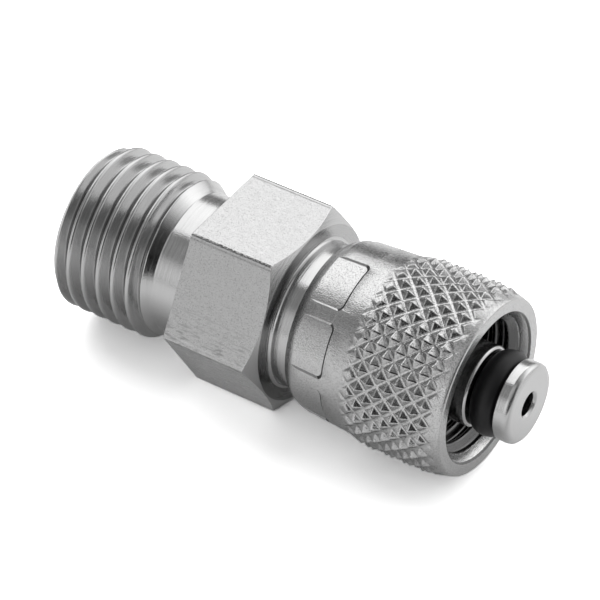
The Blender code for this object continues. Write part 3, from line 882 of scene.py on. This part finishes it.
def drawn_steel_finish():
    """Flats of drawn bar: a fine dark speckle, short streaks along the bar, chipped top edges
    darkened by a painted reflection, lower flats lightened by painted light.
    """
    finish = Finish("drawn_bar_steel")
    spot, (x, y, z) = spot_in_mm(finish)
    outward = finish.from_axis(y, z)
    along_bar = finish.vector(finish.math("MULTIPLY", x, STREAK_STRETCH), y, z)
    streaks = finish.noise(along_bar, STREAK_SCALE, 3.0)
    speckle = finish.noise(spot, SPECKLE_SCALE, 3.0)
    pits = finish.between(speckle, 0.0, SPECKLE_DARK, *SPECKLE_LIMITS)
    strokes = finish.math(
        "MULTIPLY",
        finish.between(streaks, 0.0, STREAK_DARK, *STREAK_LIMITS),
        finish.between(z, *STREAKS_ABOVE),
        finish.between(z, *STREAKS_BELOW),
    )
    corner = HEX_CORNER / MM - HEX_CORNER_ROUND / MM * (1 / math.cos(math.pi / 6) - 1)
    chips = finish.between(speckle, *CHIP_DARK, *CHIP_LIMITS)
    # Painted dark reflection along the top edges, full behind the axis and dotted by chips in
    # front; it also turns the metal off there
    edge_reflection_and_chips = finish.math(
        "MULTIPLY",
        finish.between(outward, 0.0, 1.0, corner - EDGE_DARK_START, corner - EDGE_DARK_FULL),
        finish.math("MAXIMUM", chips, finish.between(y, 0.0, EDGE_REFLECTION_BEHIND)),
        finish.between(z, 0.0, 1.0),
    )
    dark = finish.math("MAXIMUM", pits, strokes, edge_reflection_and_chips)
    # Painted light: the lower flats are lighter than the upper ones
    bar_tone_lit_below = finish.between(z, *BAR_PAINTED_LIGHT_TONES, *BAR_PAINTED_LIGHT_PLACES)

    shader = finish.shader
    shader.inputs["Specular IOR Level"].default_value = 0.0
    finish.feed(shader, "Metallic", finish.between(edge_reflection_and_chips, 1.0, 0.0))
    finish.paint_grey(finish.between(dark, bar_tone_lit_below, 0.0))
    finish.feed(shader, "Roughness", finish.between(streaks, *BAR_ROUGHNESS, *COMMON))
    drawn = finish.bump(streaks, STREAK_HEIGHT)
    finish.feed(shader, "Normal", finish.bump(speckle, SPECKLE_HEIGHT, drawn))
    return finish.material


def rubber_finish():
    """Black moulded rubber with a faint skin."""
    finish = Finish("black_seal_rubber")
    spot = spot_in_mm(finish)[0]
    skin = finish.noise(spot, RUBBER_SKIN_SCALE)
    shader = finish.shader
    shader.inputs["Base Color"].default_value = (0.008, 0.008, 0.009, 1.0)
    shader.inputs["Specular IOR Level"].default_value = 0.35
    finish.feed(shader, "Roughness", finish.between(skin, *RUBBER_ROUGHNESS, *COMMON))
    finish.feed(shader, "Normal", finish.bump(skin, RUBBER_SKIN_HEIGHT))
    return finish.material


def place_camera():
    """Camera at the photograph's place."""
    data = bpy.data.cameras.new("camera")
    data.lens = CAMERA_LENS
    data.sensor_width = 36.0
    data.clip_start = 0.01
    camera = bpy.data.objects.new("camera", data)
    bpy.context.collection.objects.link(camera)
    turn = Matrix((CAMERA_RIGHT, CAMERA_UP, CAMERA_BACK)).transposed().to_4x4()
    camera.matrix_world = Matrix.Translation(CAMERA_PLACE) @ turn
    bpy.context.scene.camera = camera


def white_floor():
    """White floor that touches the knurl and the rear edge of the hexagon."""
    knurl_station = NUT_REAR + KNURL_START + KNURL_RAMP
    tilt = math.atan2(KNURL_RADIUS - HEX_APOTHEM, knurl_station - HEX_REAR)
    bm = bmesh.new()
    bmesh.ops.create_grid(bm, x_segments=1, y_segments=1, size=FLOOR_SIZE / 2)
    mesh = bpy.data.meshes.new("floor")
    bm.to_mesh(mesh)
    bm.free()
    floor = bpy.data.objects.new("floor", mesh)
    bpy.context.collection.objects.link(floor)
    floor.location = (knurl_station - BODY_END / 2, 0.0, -KNURL_RADIUS)
    floor.rotation_euler = (0.0, tilt, 0.0)
    material = bpy.data.materials.new("floor")
    material.use_nodes = True
    tree = material.node_tree
    tree.nodes.clear()
    path = tree.nodes.new("ShaderNodeLightPath")
    spot = tree.nodes.new("ShaderNodeSeparateXYZ")
    tree.links.new(tree.nodes.new("ShaderNodeTexCoord").outputs["Object"], spot.inputs[0])
    # The floor's tone in reflections is painted: shade under and in front of the object, light
    # behind it
    ramps = (
        ("ADD", *FLOOR_BEHIND_PLACES, FLOOR_GLOSSY_NEAR, FLOOR_GLOSSY_BEHIND),
        ("ADD", *FLOOR_FRONT_PLACES, 0.0, FLOOR_GLOSSY_FRONT),
        ("MULTIPLY", *FLOOR_FAR_PLACES, 1.0, FLOOR_GLOSSY_FAR),
    )
    tone = tree.nodes.new("ShaderNodeValue")
    for operation, *numbers in ramps:
        ramp = tree.nodes.new("ShaderNodeMapRange")
        tree.links.new(spot.outputs["Y"], ramp.inputs["Value"])
        for key, number in zip(RAMP_INPUTS, numbers):
            ramp.inputs[key].default_value = number
        before, tone = tone, tree.nodes.new("ShaderNodeMath")
        tone.operation = operation
        tree.links.new(before.outputs[0], tone.inputs[0])
        tree.links.new(ramp.outputs[0], tone.inputs[1])
    glossy = tree.nodes.new("ShaderNodeMix")
    tree.links.new(path.outputs["Is Glossy Ray"], glossy.inputs["Factor"])
    glossy.inputs["A"].default_value = FLOOR_WHITE
    tree.links.new(tone.outputs[0], glossy.inputs["B"])
    seen = tree.nodes.new("ShaderNodeMix")
    tree.links.new(path.outputs["Is Camera Ray"], seen.inputs["Factor"])
    tree.links.new(glossy.outputs["Result"], seen.inputs["A"])
    seen.inputs["B"].default_value = FLOOR_SEEN_WHITE
    white = seen.outputs["Result"]
    diffuse = tree.nodes.new("ShaderNodeBsdfDiffuse")
    tree.links.new(white, diffuse.inputs["Color"])
    output = tree.nodes.new("ShaderNodeOutputMaterial")
    tree.links.new(diffuse.outputs[0], output.inputs["Surface"])
    mesh.materials.append(material)


def softbox():
    """Wide softbox overhead, behind and to the left."""
    left, right = SOFTBOX_LEFT * SOFTBOX_HEIGHT, SOFTBOX_RIGHT * SOFTBOX_HEIGHT
    front, back = SOFTBOX_FRONT * SOFTBOX_HEIGHT, SOFTBOX_BACK * SOFTBOX_HEIGHT
    data = bpy.data.lights.new("softbox", "AREA")
    data.shape = "RECTANGLE"
    data.size = right - left
    data.size_y = back - front
    data.energy = SOFTBOX_RADIANCE * math.pi * data.size * data.size_y
    lamp = bpy.data.objects.new("softbox", data)
    bpy.context.collection.objects.link(lamp)
    lamp.location = ((left + right) / 2, (front + back) / 2, SOFTBOX_HEIGHT)


def studio_walls():
    """Dim studio with soft areas, two of them dark. The camera itself sees plain white."""
    world = bpy.data.worlds.new("studio")
    bpy.context.scene.world = world
    world.use_nodes = True
    tree = world.node_tree
    direction = tree.nodes.new("ShaderNodeTexCoord").outputs["Generated"]
    tones = tree.nodes.new("ShaderNodeValue").outputs[0]
    tones.default_value = ROOM_TONE
    for towards, start, end, tone in WALLS:
        facing = tree.nodes.new("ShaderNodeVectorMath")
        facing.operation = "DOT_PRODUCT"
        tree.links.new(direction, facing.inputs[0])
        facing.inputs[1].default_value = Vector(towards).normalized()
        fade = tree.nodes.new("ShaderNodeMapRange")
        fade.interpolation_type = "SMOOTHSTEP"
        tree.links.new(facing.outputs["Value"], fade.inputs["Value"])
        for key, number in zip(RAMP_INPUTS, (start, end, 0.0, tone)):
            fade.inputs[key].default_value = number
        total = tree.nodes.new("ShaderNodeMath")
        tree.links.new(tones, total.inputs[0])
        tree.links.new(fade.outputs[0], total.inputs[1])
        tones = total.outputs[0]
    seen = tree.nodes.new("ShaderNodeMix")
    camera_ray = tree.nodes.new("ShaderNodeLightPath").outputs["Is Camera Ray"]
    tree.links.new(camera_ray, seen.inputs["Factor"])
    tree.links.new(tones, seen.inputs["A"])
    seen.inputs["B"].default_value = WORLD_SEEN_WHITE
    tree.links.new(seen.outputs["Result"], tree.nodes["Background"].inputs["Color"])


place_camera()
softbox()
studio_walls()
white_floor()

body_steel = turned_steel_finish(
    "turned_bright_steel", (0.54, 0.54, 0.54), 0.19, 0.009, 0.006, thread=True
)
nut_steel = knurled_steel_finish()
# Dark steel for the inside of the nut, painted shade in its mouth and thread
inner_shade_steel = turned_steel_finish("inner_thread_painted_shade", (0.13, 0.13, 0.13), 0.25, 0.004, 0.002)
# Faced end of the hexagon: a darker tone, painted lighter towards +Y as painted light
end_steel = turned_steel_finish(
    "faced_end_steel", (0.24, 0.24, 0.24), 0.24, 0.006, 0.003, rear_painted_light=0.46
)
bright_body(body_steel, drawn_steel_finish(), end_steel)
# Near-black steel for the panels' rear-facing walls, a painted shadow
panel_shadow_steel = turned_steel_finish("panel_wall_painted_shadow", (0.06, 0.06, 0.06), 0.35, 0.004, 0.002)
bright_nut(nut_steel, inner_shade_steel, panel_shadow_steel)
soft_seal(rubber_finish())
spring_steel = turned_steel_finish("spring_wire_steel", (0.35, 0.35, 0.36), 0.35, 0.004, 0.003)
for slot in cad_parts["retaining_ring"].material_slots:
    slot.material = spring_steel

bpy.context.scene.view_settings.view_transform = "Standard"
